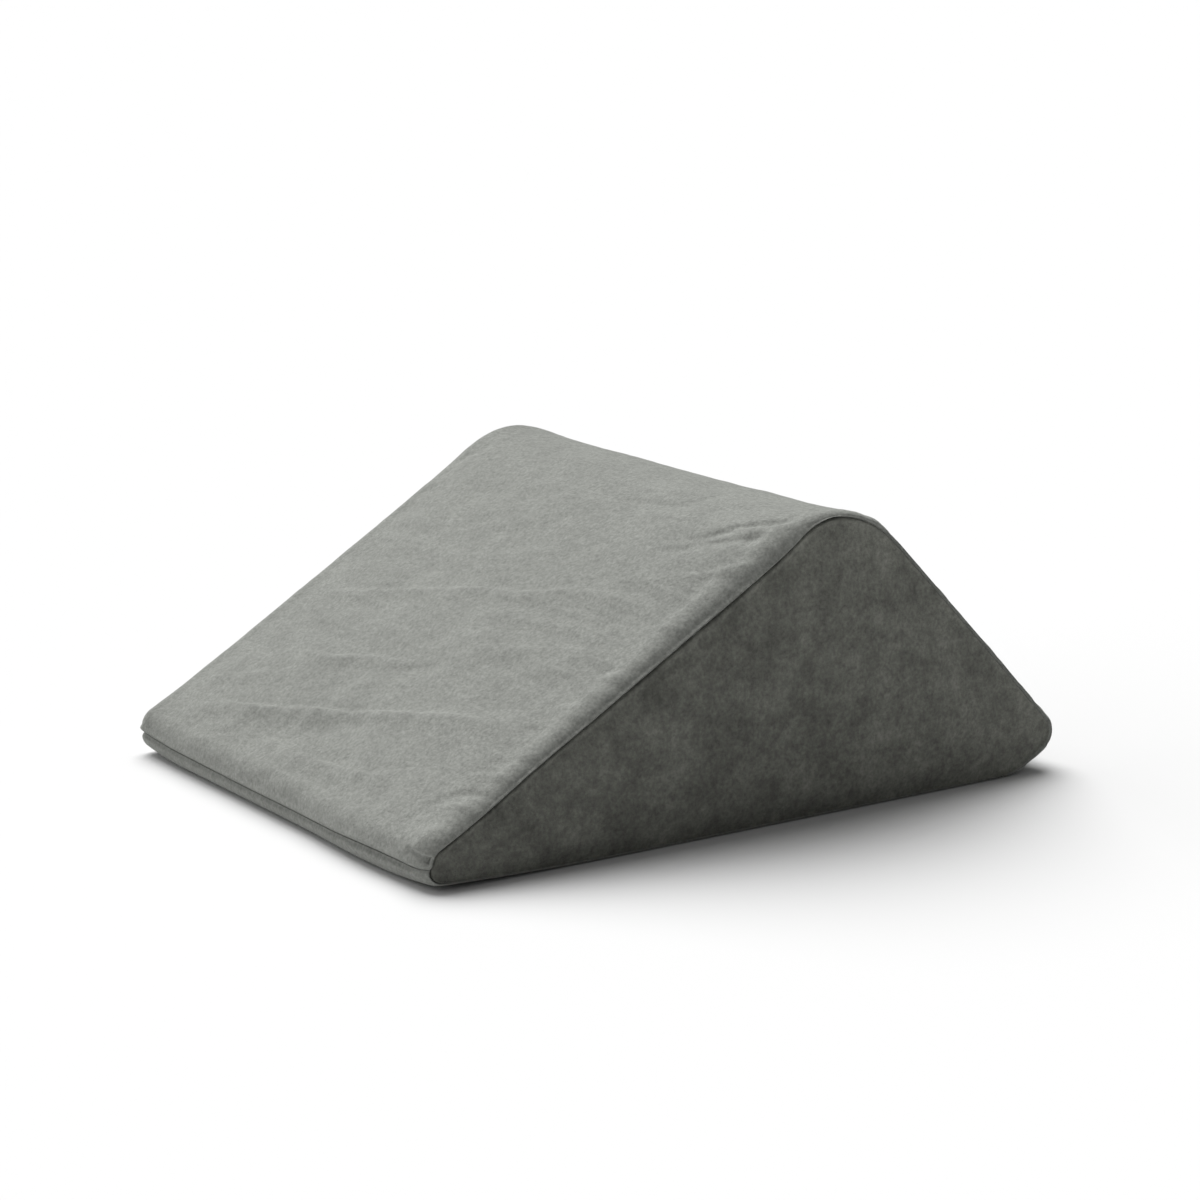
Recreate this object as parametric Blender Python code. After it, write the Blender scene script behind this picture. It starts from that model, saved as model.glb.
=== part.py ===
"""Wedge pillow: a filled wedge in its wrap panel, two set-in side panels and a base panel.

The ridge runs along X. The thin front edge is at -Y, the steep rear at +Y, and the base lies on Z = 0.
The side outline is a five-cornered polygon with rounded corners. Every surface is that outline, swept along X
and rolled in at both ends, so the pieces share one set of sizes.
"""
import bisect
import math
from collections import namedtuple

import bmesh
import bpy
from mathutils import Vector

# Overall sizes in metres
WIDTH = 0.400
DEPTH = 0.500
HEIGHT = 0.199

# Cloth and seams
BASE_CLOTH = 0.0020
SIDE_CLOTH = 0.0025
CLEARANCE = 0.0003
SEAM_STEP = 0.0040

# How far the filling pushes each panel out, and how far the ridge dips between its ends
SLOPE_CROWN = 0.0035
REAR_CROWN = 0.0020
SIDE_CROWN = 0.0030
RIDGE_DIP = 0.0012
CROWN_START = 0.050
CROWN_FALL_OFF = 2.6

# The cover rolls over into each side seam along a quarter of an ellipse, which is ROLL_EXTRA wider than deep
ROLL_EXTRA = 0.0040
ROLL_ANGLES = (0, 25, 45, 60, 72, 80)
SIDE_SET_BACK = 0.0010
RECESS_MARGIN = 0.0006
SIDE_MARGIN = 0.0012
DOME_RINGS = (0.85, 0.60, 0.30)

# The base panel turns up at the front as a lip, taller at the right end
LIP_LEFT = 0.0050
LIP_RIGHT = 0.0170
REAR_SEAM_DEPTH = 0.452
TOE_START_DEPTH = 0.018
NOSE_END_DEPTH = 0.045

# Corners of the side outline: distance from the front, height, and radius of the rounding
Corner = namedtuple("Corner", "name depth height radius")
CORNERS = (
    Corner("front foot", 0.001, 0.000, 0.010),
    Corner("nose", -0.001, 0.026, 0.016),
    Corner("ridge", 0.3165, 0.2180, 0.080),
    Corner("heel", 0.505, 0.022, 0.017),
    Corner("rear foot", 0.469, 0.000, 0.072),
)
ARC_STEPS = 16
RIDGE_REACH = 0.055
HEEL_HEIGHT = 0.040
SOFT_REACH = 0.002
SEARCH_STEP = 0.0002

# How many steps each stretch of the outline takes on the filled wedge
UNDERSIDE_STEPS = 7
TOE_STEPS = 9
NOSE_STEPS = 5
SLOPE_STEPS = 9
RIDGE_STEPS = 12
REAR_STEPS = 6
HEEL_STEPS = 12
MIDDLE_SECTIONS = 9

WRAP_COLOUR = (0.335, 0.342, 0.322, 1.0)
SIDE_COLOUR = (0.320, 0.327, 0.308, 1.0)
BASE_COLOUR = (0.300, 0.306, 0.290, 1.0)
CLOTH_ROUGHNESS = 0.92
SHARP_ANGLE = math.radians(50)


def rounded_outline(corners):
    """Points round the outline, over the ridge to the rear foot, with an arc at each corner."""
    points = []
    for index, corner in enumerate(corners):
        here = Vector((corner.depth, corner.height))
        before = corners[index - 1]
        after = corners[(index + 1) % len(corners)]
        back = (Vector((before.depth, before.height)) - here).normalized()
        ahead = (Vector((after.depth, after.height)) - here).normalized()
        half = back.angle(ahead) / 2
        centre = here + (back + ahead).normalized() * corner.radius / math.sin(half)
        start = here + back * corner.radius / math.tan(half)
        end = here + ahead * corner.radius / math.tan(half)
        first = math.atan2(start.y - centre.y, start.x - centre.x)
        turn = math.atan2(end.y - centre.y, end.x - centre.x) - first
        turn = (turn + math.pi) % (2 * math.pi) - math.pi
        for step in range(ARC_STEPS + 1):
            angle = first + turn * step / ARC_STEPS
            points.append(centre + corner.radius * Vector((math.cos(angle), math.sin(angle))))
    return points


def fitted_outline(points):
    """The outline scaled to the overall depth and height."""
    low_y = min(p.x for p in points)
    span_y = max(p.x for p in points) - low_y
    top = max(p.y for p in points)
    depth_scale = DEPTH / span_y
    height_scale = HEIGHT / top
    return [Vector(((p.x - low_y) * depth_scale, p.y * height_scale)) for p in points]


class Outline:
    """The closed side outline, read by distance forward from the base panel's rear seam."""

    def __init__(self, points):
        foot = Vector((REAR_SEAM_DEPTH, 0.0))
        ring = [foot] + points + [foot]
        self.points = ring
        self.stations = [0.0]
        for before, after in zip(ring, ring[1:]):
            self.stations.append(self.stations[-1] + (after - before).length)
        self.length = self.stations[-1]

    def at(self, station):
        """The point at one station."""
        station %= self.length
        index = min(max(bisect.bisect_right(self.stations, station), 1), len(self.stations) - 1)
        while self.stations[index] - self.stations[index - 1] < 1e-9:
            index += 1
        start, end = self.points[index - 1], self.points[index]
        share = (station - self.stations[index - 1]) / (self.stations[index] - self.stations[index - 1])
        return start.lerp(end, share)

    def outward(self, station):
        """The outward direction, averaged over a short reach so that arcs and straights join softly."""
        along = self.at(station + SOFT_REACH) - self.at(station - SOFT_REACH)
        return Vector((-along.y, along.x)).normalized()

    def station_where(self, passed, after=0.0):
        """The first station past the given one at which the test holds."""
        station = after
        while not passed(self.at(station)):
            station += SEARCH_STEP
        return station


OUTLINE = Outline(fitted_outline(rounded_outline(CORNERS)))
TOP_TOLERANCE = 0.00002
RIDGE_TOP = OUTLINE.station_where(lambda p: p.y > HEIGHT - TOP_TOLERANCE)
TOE_START = OUTLINE.station_where(lambda p: p.x < TOE_START_DEPTH)
SLOPE_START = OUTLINE.station_where(lambda p: p.x > NOSE_END_DEPTH, TOE_START + TOE_START_DEPTH)
SLOPE_END = RIDGE_TOP - RIDGE_REACH
REAR_START = RIDGE_TOP + RIDGE_REACH
HEEL_START = OUTLINE.station_where(lambda p: p.y < HEEL_HEIGHT, REAR_START)

HALF_ROLLED = WIDTH / 2 + SIDE_SET_BACK - SIDE_CROWN
FACE = HALF_ROLLED - SIDE_SET_BACK
RECESS_FLOOR = FACE - SIDE_CLOTH - CLEARANCE

# How deep the roll into the side seam is at stations round the outline
RollDepth = namedtuple("RollDepth", "station depth")
ROLL_DEPTHS = (
    RollDepth(0.0, 0.0030),
    RollDepth(TOE_START, 0.0030),
    RollDepth(TOE_START + 0.035, 0.0060),
    RollDepth(SLOPE_START + 0.020, 0.0100),
    RollDepth(SLOPE_END - 0.030, 0.0130),
    RollDepth(RIDGE_TOP, 0.0025),
    RollDepth(REAR_START, 0.0022),
    RollDepth(HEEL_START, 0.0032),
    RollDepth(OUTLINE.length, 0.0030),
)

# A section of the sweep: its place from -1, left, to 1, right, and its angle round the end roll
Section = namedtuple("Section", "place angle")


def lip_station(place):
    """Where the front seam lies on one section."""
    seam_height = LIP_LEFT + (LIP_RIGHT - LIP_LEFT) * (place + 1) / 2
    return OUTLINE.station_where(lambda p: p.y > seam_height, TOE_START)


def roll_depth(station):
    """The depth of the end roll at one station, eased between the rows of its table."""
    station %= OUTLINE.length
    for before, after in zip(ROLL_DEPTHS, ROLL_DEPTHS[1:]):
        if station <= after.station:
            share = (station - before.station) / (after.station - before.station)
            share = share * share * (3 - 2 * share)
            return before.depth + (after.depth - before.depth) * share
    return ROLL_DEPTHS[-1].depth


def seam_inset(station):
    """How far in from the outline the end roll stops."""
    return roll_depth(station) * (1 - math.cos(math.radians(ROLL_ANGLES[-1])))


def bump(station, start, end):
    """A smooth rise from 0 to 1 and back between two stations."""
    share = min(max((station - start) / (end - start), 0.0), 1.0)
    return math.sin(math.pi * share)


def crown(place, station):
    """How far the filling pushes the wrap out at one place."""
    lift = SLOPE_CROWN * bump(station, TOE_START + CROWN_START, RIDGE_TOP)
    lift += REAR_CROWN * bump(station, RIDGE_TOP, HEEL_START)
    lift -= RIDGE_DIP * bump(station, SLOPE_END, REAR_START)
    return (1.0 - abs(place) ** CROWN_FALL_OFF) * lift


def sections():
    """Each section of the sweep along X."""
    rolled = [math.radians(angle) for angle in ROLL_ANGLES[1:]]
    middle = [2 * index / (MIDDLE_SECTIONS - 1) - 1 for index in range(MIDDLE_SECTIONS)]
    left = [Section(-1.0, -angle) for angle in reversed(rolled)]
    right = [Section(1.0, angle) for angle in rolled]
    return left + [Section(place, 0.0) for place in middle] + right


def surface_point(section, station, depth=0.0):
    """A point of the cover's outer surface, or of one that lies the given depth under it."""
    flat = OUTLINE.at(station)
    out = OUTLINE.outward(station)
    deep = roll_depth(station)
    wide = deep + ROLL_EXTRA
    x = section.place * (HALF_ROLLED - wide) + wide * math.sin(section.angle)
    inset = deep * (1 - math.cos(section.angle)) - crown(section.place, station)
    normal = Vector((math.sin(section.angle) / wide, math.cos(section.angle) / deep)).normalized()
    in_plane = inset + normal.y * depth
    return Vector((x - normal.x * depth, flat.x - out.x * in_plane - DEPTH / 2, flat.y - out.y * in_plane))


def even(start, end, steps):
    """Stations from start up to, but without, end."""
    return [start + (end - start) * index / steps for index in range(steps)]


def body_stations(place):
    """Stations of one ring of the filled wedge, closer together at the two seams of the base panel."""
    lip = lip_station(place)
    end = OUTLINE.length
    stations = even(0.0, TOE_START, UNDERSIDE_STEPS)
    stations += even(TOE_START, lip, TOE_STEPS)
    stations += [lip + CLEARANCE, lip + SEAM_STEP / 2]
    stations += even(lip + SEAM_STEP, SLOPE_START, NOSE_STEPS)
    stations += even(SLOPE_START, SLOPE_END, SLOPE_STEPS)
    stations += even(SLOPE_END, REAR_START, RIDGE_STEPS)
    stations += even(REAR_START, HEEL_START, REAR_STEPS)
    stations += even(HEEL_START, end - SEAM_STEP, HEEL_STEPS)
    stations += [end - SEAM_STEP, end - SEAM_STEP / 2, end - CLEARANCE]
    return stations


def room_for_base(place, station):
    """How far the filled wedge stays under the outer surface, to leave room for the base panel."""
    lip = lip_station(place)
    beyond = min(max(station - lip, 0.0), OUTLINE.length - station)
    share = min(max((beyond - CLEARANCE) / (SEAM_STEP - CLEARANCE), 0.0), 1.0)
    return (BASE_CLOTH + CLEARANCE) * (1 - share) ** 2


def end_ring(side, x, margin):
    """One ring of an end face, a margin further in than the seam."""
    ring = []
    for station in body_stations(side):
        flat = OUTLINE.at(station)
        out = OUTLINE.outward(station)
        inset = seam_inset(station) + margin
        ring.append(Vector((side * x, flat.x - out.x * inset - DEPTH / 2, flat.y - out.y * inset)))
    return ring


def dome_rings(rim):
    """Rings inside a rim, pushed out along X as a shallow dome, and the dome's middle."""
    middle = sum(rim, Vector()) / len(rim)
    side = math.copysign(1.0, middle.x)
    rings = []
    for share in DOME_RINGS:
        lift = Vector((side * SIDE_CROWN * (1 - share ** 2), 0, 0))
        rings.append([middle.lerp(point, share) + lift for point in rim])
    return rings, middle + Vector((side * SIDE_CROWN, 0, 0))


def add_material(obj, colour):
    """A rough cloth finish in one colour."""
    material = bpy.data.materials.new(obj.name + "_cloth")
    material.use_nodes = True
    shader = material.node_tree.nodes["Principled BSDF"]
    shader.inputs["Base Color"].default_value = colour
    shader.inputs["Roughness"].default_value = CLOTH_ROUGHNESS
    shader.inputs["Metallic"].default_value = 0.0
    obj.data.materials.append(material)


def add_object(name, build, colour):
    """One named object from a function that fills a bmesh."""
    mesh = bpy.data.meshes.new(name)
    shape = bmesh.new()
    build(shape)
    bmesh.ops.recalc_face_normals(shape, faces=shape.faces)
    shape.to_mesh(mesh)
    shape.free()
    mesh.shade_smooth()
    mesh.set_sharp_from_angle(angle=SHARP_ANGLE)
    obj = bpy.data.objects.new(name, mesh)
    bpy.context.scene.collection.objects.link(obj)
    add_material(obj, colour)
    return obj


def skin(shape, rings):
    """Quads between closed rings of points that follow each other; returns the rings' vertices."""
    rows = [[shape.verts.new(point) for point in ring] for ring in rings]
    for before, after in zip(rows, rows[1:]):
        count = len(before)
        for index in range(count):
            ahead = (index + 1) % count
            shape.faces.new((before[index], before[ahead], after[ahead], after[index]))
    return rows


def fan(shape, row, middle):
    """Triangles from one ring to its middle."""
    centre = shape.verts.new(middle)
    for index, vert in enumerate(row):
        shape.faces.new((vert, row[(index + 1) % len(row)], centre))


def build_body(shape):
    """The filled wedge: the wrap's sections, a shallow recess at each end and its domed floor."""
    rings = []
    for section in sections():
        ring = []
        for station in body_stations(section.place):
            ring.append(surface_point(section, station, room_for_base(section.place, station)))
        rings.append(ring)
    left_rim = end_ring(-1, RECESS_FLOOR, RECESS_MARGIN)
    right_rim = end_ring(1, RECESS_FLOOR, RECESS_MARGIN)
    left_dome, left_middle = dome_rings(left_rim)
    right_dome, right_middle = dome_rings(right_rim)
    rows = skin(shape, left_dome[::-1] + [left_rim] + rings + [right_rim] + right_dome)
    fan(shape, rows[0], left_middle)
    fan(shape, rows[-1], right_middle)


def side_panel_builder(side):
    """A builder for the three-cornered sheet of one end, domed with its filling."""
    def build(shape):
        inner_rim = end_ring(side, FACE - SIDE_CLOTH, SIDE_MARGIN)
        edge = end_ring(side, FACE - SIDE_CLOTH / 2, SIDE_MARGIN)
        outer_rim = end_ring(side, FACE, SIDE_MARGIN + SIDE_CLOTH / 2)
        inner_dome, inner_middle = dome_rings(inner_rim)
        outer_dome, outer_middle = dome_rings(outer_rim)
        rows = skin(shape, inner_dome[::-1] + [inner_rim, edge, outer_rim] + outer_dome)
        fan(shape, rows[0], inner_middle)
        fan(shape, rows[-1], outer_middle)
    return build


def base_ring(section):
    """One closed section of the base panel: its outer face, then its inner face on the way back."""
    lip = lip_station(section.place)
    stations = even(0.0, TOE_START, UNDERSIDE_STEPS) + even(TOE_START, lip, TOE_STEPS) + [lip]
    outer = [surface_point(section, station) for station in stations]
    inner = [surface_point(section, station, BASE_CLOTH) for station in reversed(stations)]
    return outer + inner


def build_base(shape):
    """The base panel: a sheet under the whole wedge, turned up at the nose and rolled up at both ends."""
    rows = skin(shape, [base_ring(section) for section in sections()])
    for row in (rows[0], rows[-1]):
        half = len(row) // 2
        for index in range(half - 1):
            shape.faces.new((row[index], row[index + 1], row[-2 - index], row[-1 - index]))


def clear_scene():
    """Remove whatever the file opened with."""
    for obj in list(bpy.data.objects):
        bpy.data.objects.remove(obj, do_unlink=True)


def main():
    clear_scene()
    add_object("pillow_body", build_body, WRAP_COLOUR)
    add_object("side_panel_right", side_panel_builder(1), SIDE_COLOUR)
    add_object("side_panel_left", side_panel_builder(-1), SIDE_COLOUR)
    add_object("base_panel", build_base, BASE_COLOUR)


main()
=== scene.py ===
import math
from collections import namedtuple

import bmesh
import bpy
import numpy as np
from mathutils import Matrix, Vector


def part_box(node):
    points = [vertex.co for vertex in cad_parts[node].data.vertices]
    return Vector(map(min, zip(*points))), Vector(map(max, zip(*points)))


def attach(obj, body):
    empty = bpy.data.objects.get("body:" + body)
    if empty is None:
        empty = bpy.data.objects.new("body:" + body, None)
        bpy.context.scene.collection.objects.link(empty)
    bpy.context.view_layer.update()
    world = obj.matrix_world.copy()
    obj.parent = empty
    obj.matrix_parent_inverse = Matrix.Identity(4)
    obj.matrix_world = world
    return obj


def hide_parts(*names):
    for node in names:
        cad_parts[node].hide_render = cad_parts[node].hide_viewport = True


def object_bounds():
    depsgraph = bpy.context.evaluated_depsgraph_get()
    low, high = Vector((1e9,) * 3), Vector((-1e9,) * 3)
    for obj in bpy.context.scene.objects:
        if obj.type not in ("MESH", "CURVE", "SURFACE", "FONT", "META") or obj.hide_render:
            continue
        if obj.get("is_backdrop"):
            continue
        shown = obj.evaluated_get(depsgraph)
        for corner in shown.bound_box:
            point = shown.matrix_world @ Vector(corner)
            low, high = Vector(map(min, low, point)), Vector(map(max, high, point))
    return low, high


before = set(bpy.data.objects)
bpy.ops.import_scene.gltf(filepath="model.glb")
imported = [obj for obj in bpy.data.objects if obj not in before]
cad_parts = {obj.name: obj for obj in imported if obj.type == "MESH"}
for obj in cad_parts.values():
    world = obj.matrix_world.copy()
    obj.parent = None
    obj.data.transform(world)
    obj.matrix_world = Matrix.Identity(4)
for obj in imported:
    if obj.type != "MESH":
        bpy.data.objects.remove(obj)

# The looks of a wedge pillow: a wrap over the filling, two set-in side panels and a base panel, in brushed
# velour. The ridge runs along X, the thin front edge is at -Y, and the underside lies on Z = 0. Lengths are in
# metres, where nothing else is said.

CAD_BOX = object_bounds()
BODY_LOW, BODY_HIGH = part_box("pillow_body")
SIDE_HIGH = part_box("side_panel_right")[1]
BODY = "root"

# Cloth and seams. The wrap's roll ends a little outside the side panels' faces, and is wider than deep.
BASE_CLOTH = 0.0020
SIDE_CLOTH = 0.0025
CLEARANCE = 0.0004
ROLL_PROUD = 0.0010
ROLL_EXTRA = 0.0025

# How far the filling pushes each panel out, how far the ridge sags in the middle and how far it rises at
# its ends
SLOPE_CROWN = 0.0035
REAR_CROWN = 0.0020
SIDE_CROWN = 0.0030
RIDGE_DIP = 0.0012
CROWN_START = 0.050
CROWN_FALL_OFF = 3.6
RIDGE_EAR = 0.0016
EAR_FALL_OFF = 5
EAR_BEFORE = 0.035
EAR_AFTER = 0.060

DEPTH = BODY_HIGH.y - BODY_LOW.y
HEIGHT = BODY_HIGH.z
HALF_FACE = SIDE_HIGH.x - SIDE_CROWN
HALF_ROLLED = HALF_FACE + ROLL_PROUD

Corner = namedtuple("Corner", "name depth height radius")
CORNERS = (
    Corner("front foot", 0.001, 0.000, 0.010),
    Corner("nose", -0.001, 0.026, 0.016),
    Corner("ridge", 0.3165, 0.2180, 0.080),
    Corner("heel", 0.505, 0.022, 0.017),
    Corner("rear foot", 0.469, 0.000, 0.072),
)
ARC_STEPS = 40
REAR_SEAM_DEPTH = 0.452


def rounded_outline():
    """The side outline with an arc at each corner, scaled to the frame's depth and height."""
    points = []
    for index, corner in enumerate(CORNERS):
        here = Vector((corner.depth, corner.height))
        before = CORNERS[index - 1]
        after = CORNERS[(index + 1) % len(CORNERS)]
        back = (Vector((before.depth, before.height)) - here).normalized()
        ahead = (Vector((after.depth, after.height)) - here).normalized()
        half = back.angle(ahead) / 2
        centre = here + (back + ahead).normalized() * corner.radius / math.sin(half)
        start = here + back * corner.radius / math.tan(half)
        end = here + ahead * corner.radius / math.tan(half)
        first = math.atan2(start.y - centre.y, start.x - centre.x)
        turn = math.atan2(end.y - centre.y, end.x - centre.x) - first
        turn = (turn + math.pi) % (2 * math.pi) - math.pi
        angles = first + turn * np.linspace(0, 1, ARC_STEPS + 1)
        across = centre.x + corner.radius * np.cos(angles)
        up = centre.y + corner.radius * np.sin(angles)
        points.append(np.stack([across, up], 1))
    outline = np.vstack(points)
    outline[:, 0] -= outline[:, 0].min()
    return outline * [DEPTH / outline[:, 0].max(), HEIGHT / outline[:, 1].max()]


OUTLINE = np.vstack([[REAR_SEAM_DEPTH, 0.0], rounded_outline(), [REAR_SEAM_DEPTH, 0.0]])
STATIONS = np.concatenate([[0], np.cumsum(np.linalg.norm(np.diff(OUTLINE, axis=0), axis=1))])
LENGTH = STATIONS[-1]


def outline_at(station):
    """Points of the outline, read by distance forward from the base panel's rear seam."""
    station = np.mod(station, LENGTH)
    depth = np.interp(station, STATIONS, OUTLINE[:, 0])
    height = np.interp(station, STATIONS, OUTLINE[:, 1])
    return np.stack([depth, height], -1)


def outward_at(station, reach=0.002):
    """The outward direction of the outline, averaged over a short reach."""
    along = outline_at(station + reach) - outline_at(station - reach)
    out = np.stack([-along[..., 1], along[..., 0]], -1)
    return out / np.linalg.norm(out, axis=-1, keepdims=True)


STATION_STEP = 0.0001


def first_station(passed, after=0.0):
    """The first station past the given one at which the test holds."""
    stations = np.arange(after, LENGTH, STATION_STEP)
    return stations[np.argmax(passed(outline_at(stations)))]


# Where the faces meet, found on the outline
RIDGE_HALF = 0.055
RIDGE_TOP = first_station(lambda p: p[:, 1] > HEIGHT - 0.00002)
TOE_START = first_station(lambda p: p[:, 0] < 0.018)
SLOPE_START = first_station(lambda p: p[:, 0] > 0.045, TOE_START + 0.018)
SLOPE_END = RIDGE_TOP - RIDGE_HALF
REAR_START = RIDGE_TOP + RIDGE_HALF
HEEL_START = first_station(lambda p: p[:, 1] < 0.040, REAR_START)

# How deep the roll into the side seam is at stations round the outline: the seam sits low on the slope's edge
# and close to the edge over the ridge, lower at the right end than at the left
RollDepth = namedtuple("RollDepth", "station right left")
ROLL_DEPTHS = (
    RollDepth(0.0, 0.0010, 0.0010),
    RollDepth(TOE_START, 0.0014, 0.0014),
    RollDepth(TOE_START + 0.018, 0.0036, 0.0036),
    RollDepth(TOE_START + 0.036, 0.0080, 0.0050),
    RollDepth(SLOPE_START, 0.0082, 0.0060),
    RollDepth(SLOPE_START + 0.030, 0.0080, 0.0068),
    RollDepth(SLOPE_START + 0.090, 0.0095, 0.0076),
    RollDepth(RIDGE_TOP - 0.140, 0.0110, 0.0080),
    RollDepth(RIDGE_TOP - 0.060, 0.0124, 0.0076),
    RollDepth(RIDGE_TOP - 0.034, 0.0112, 0.0060),
    RollDepth(RIDGE_TOP - 0.014, 0.0062, 0.0042),
    RollDepth(RIDGE_TOP + 0.006, 0.0030, 0.0030),
    RollDepth(RIDGE_TOP + 0.030, 0.0026, 0.0026),
    RollDepth(REAR_START + 0.040, 0.0028, 0.0028),
    RollDepth(HEEL_START, 0.0046, 0.0046),
    RollDepth(HEEL_START + 0.035, 0.0060, 0.0056),
    RollDepth(LENGTH, 0.0010, 0.0010),
)


def eased(value, places, levels):
    """A smooth curve through a table's levels, which never swings past them."""
    places = np.asarray(places)
    levels = np.asarray(levels)
    rates = np.diff(levels) / np.diff(places)
    steepest = 3 * np.minimum(np.abs(rates[:-1]), np.abs(rates[1:]))
    steepest = np.where(rates[:-1] * rates[1:] > 0, steepest, 0)
    inner = np.clip(np.gradient(levels, places)[1:-1], -steepest, steepest)
    slopes = np.concatenate([[0], inner, [0]])
    index = np.clip(np.searchsorted(places, value, side="right") - 1, 0, len(places) - 2)
    gap = places[index + 1] - places[index]
    t = np.clip((value - places[index]) / gap, 0, 1)
    start = levels[index] * (1 + 2 * t) + slopes[index] * gap * t
    end = levels[index + 1] * (3 - 2 * t) + slopes[index + 1] * gap * (t - 1)
    return start * (1 - t) ** 2 + end * t ** 2


def roll_depth(station, place):
    """The depth of the end roll, blended across the width between the two ends."""
    station = np.mod(station, LENGTH)
    places = [row.station for row in ROLL_DEPTHS]
    right = eased(station, places, [row.right for row in ROLL_DEPTHS])
    left = eased(station, places, [row.left for row in ROLL_DEPTHS])
    return left + (right - left) * (place + 1) / 2


def bump(station, start, end):
    """A rise from 0 to 1 and back between two stations."""
    return np.sin(np.pi * np.clip((station - start) / (end - start), 0, 1))


def ear_rise(station):
    """How far the wrap and the side panels rise at the ridge's ends."""
    return RIDGE_EAR * bump(station, RIDGE_TOP - EAR_BEFORE, RIDGE_TOP + EAR_AFTER)


def crown(place, station):
    """How far the filling pushes the wrap out."""
    lift = SLOPE_CROWN * bump(station, TOE_START + CROWN_START, RIDGE_TOP)
    lift += REAR_CROWN * bump(station, RIDGE_TOP, HEEL_START)
    lift -= RIDGE_DIP * bump(station, SLOPE_END, REAR_START)
    return (1 - np.abs(place) ** CROWN_FALL_OFF) * lift + np.abs(place) ** EAR_FALL_OFF * ear_rise(station)


def surface(place, angle, station, depth):
    """Points of the cover at a depth under its outer surface; all four arguments broadcast together."""
    place, angle, station, depth = np.broadcast_arrays(place, angle, station, depth)
    flat = outline_at(station)
    out = outward_at(station)
    deep = roll_depth(station, place)
    wide = deep + ROLL_EXTRA
    x = place * (HALF_ROLLED - wide) + wide * np.sin(angle)
    inset = deep * (1 - np.cos(angle)) - crown(place, station)
    normal_x = np.sin(angle) / wide
    normal_out = np.cos(angle) / deep
    size = np.hypot(normal_x, normal_out)
    x = x - normal_x / size * depth
    inset = inset + normal_out / size * depth
    y = flat[..., 0] - out[..., 0] * inset - DEPTH / 2
    z = flat[..., 1] - out[..., 1] * inset
    return np.stack([x, y, z], -1)


def add_mesh(name, vertices, faces, material):
    """One smooth-shaded object from arrays of vertices and quads or triangles."""
    mesh = bpy.data.meshes.new(name)
    mesh.vertices.add(len(vertices))
    mesh.vertices.foreach_set("co", np.ascontiguousarray(vertices, np.float32).ravel())
    loops = np.concatenate([np.asarray(f).ravel() for f in faces])
    totals = np.concatenate([np.full(len(f), np.asarray(f).shape[1]) for f in faces])
    mesh.loops.add(len(loops))
    mesh.loops.foreach_set("vertex_index", loops.astype(np.int32))
    mesh.polygons.add(len(totals))
    mesh.polygons.foreach_set("loop_start", np.concatenate([[0], np.cumsum(totals)[:-1]]).astype(np.int32))
    mesh.update(calc_edges=True)
    mesh.validate()
    mesh.shade_smooth()
    obj = bpy.data.objects.new(name, mesh)
    bpy.context.scene.collection.objects.link(obj)
    obj.data.materials.append(material)
    return obj


def grid_quads(rows, columns, first=0, closed=False):
    """Quads of a grid whose vertices lie row after row."""
    index = np.arange(rows * columns).reshape(rows, columns) + first
    ahead = np.roll(index, -1, axis=1) if closed else index[:, 1:]
    here = index if closed else index[:, :-1]
    return np.stack([here[:-1], ahead[:-1], ahead[1:], here[1:]], -1).reshape(-1, 4)


def fan_triangles(ring, middle, flip):
    """Triangles from a ring of vertex numbers to its middle."""
    ahead = np.roll(ring, -1)
    order = (ahead, ring) if flip else (ring, ahead)
    return np.stack([order[0], order[1], np.full(len(ring), middle)], -1)


def outward_facing(obj):
    """Turn all faces of a closed mesh outwards."""
    shape = bmesh.new()
    shape.from_mesh(obj.data)
    bmesh.ops.recalc_face_normals(shape, faces=shape.faces)
    shape.to_mesh(obj.data)
    shape.free()


# Materials


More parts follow.
